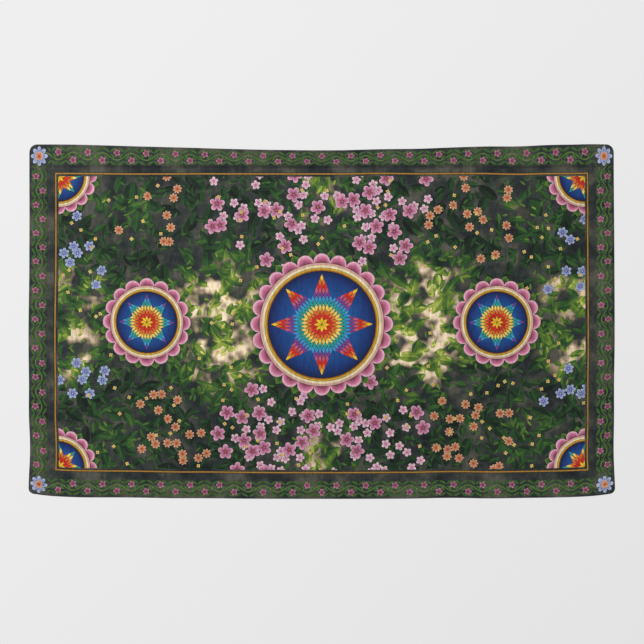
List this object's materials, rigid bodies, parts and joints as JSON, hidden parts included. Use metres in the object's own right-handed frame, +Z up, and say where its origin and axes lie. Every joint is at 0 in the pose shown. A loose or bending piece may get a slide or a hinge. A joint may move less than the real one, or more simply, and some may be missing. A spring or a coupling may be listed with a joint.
{
  "type": "hanging cloth banner",
  "caption": "Wide printed cloth banner with turned and stitched hems, hung by its top corners so that the top edge sags and the field bellies forward.",
  "frame": {"origin": "middle of the top edge, in the plane of the surface that the banner hangs against", "axes": "+X to the viewer's right along the width, +Y to the back into the surface behind, +Z up; the printed front faces -Y"},
  "size_m": [1.5266, 0.0231, 0.9236],
  "materials": {
    "banner_cloth": "plain-woven slub polyester, dye printed on the front, matt with a faint sheen"
  },
  "bodies": {
    "root": {"banner_cloth": "banner_cloth"}
  },
  "joints": []
}
